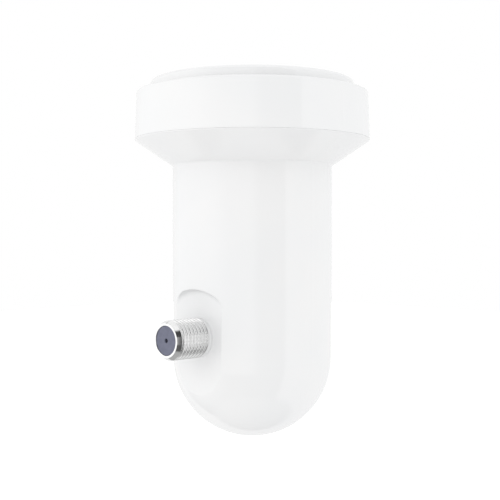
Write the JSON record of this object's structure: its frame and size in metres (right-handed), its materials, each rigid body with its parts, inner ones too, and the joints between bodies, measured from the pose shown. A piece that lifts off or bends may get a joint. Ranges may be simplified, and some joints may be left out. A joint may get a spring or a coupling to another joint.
{
  "type": "satellite dish feed unit (low-noise block converter)",
  "caption": "Round low-noise block converter: horn and electronics sealed in a white tubular housing with a stepped feed cap, a neck for the dish's clamp and a threaded cable port.",
  "frame": {"origin": "on the axis, at the middle of the straight neck that the dish's clamp holds", "axes": "+Z along the axis towards the feed cap, -Y along the cable port"},
  "size_m": [0.0588, 0.0588, 0.0889],
  "materials": {
    "cap_plastic": "gloss white, fine moulded skin",
    "housing_plastic": "gloss white, fine moulded skin",
    "cast_alloy": "as cast, satin",
    "nickel": "nickel plated, bright",
    "port_insulator": "blue-grey, satin",
    "white_insulator": "PTFE, satin",
    "plated_wire": "gold plated",
    "seal_rubber": "satin",
    "board": "solder mask, satin",
    "chip_black": "moulded epoxy",
    "crystal_can": "plated can",
    "ceramic": "fired ceramic",
    "tantalum": "moulded epoxy",
    "foam": "foam",
    "screw_steel": "zinc plated"
  },
  "bodies": {
    "root": {"feed_cap": "cap_plastic", "cap_seal": "seal_rubber", "housing_shell": "housing_plastic", "horn_casting": "cast_alloy", "straight_probe": "plated_wire", "straight_probe_bead": "white_insulator", "bent_probe": "plated_wire", "bent_probe_bushes": "white_insulator", "isolation_rod": "screw_steel", "circuit_board": "board", "cover_casting": "cast_alloy", "absorber_sheet": "foam", "cover_screws": "screw_steel", "port_seal": "seal_rubber", "connector_shell": "nickel", "front_insulator": "port_insulator", "rear_insulator": "white_insulator", "centre_contact": "plated_wire", "low_noise_transistors": "ceramic", "converter_chip": "chip_black", "reference_crystal": "crystal_can", "voltage_regulator": "chip_black", "supply_inductor": "chip_black", "tantalum_capacitor": "tantalum", "surge_diode": "chip_black", "ceramic_capacitors": "ceramic", "chip_resistors": "chip_black"}
  },
  "joints": []
}
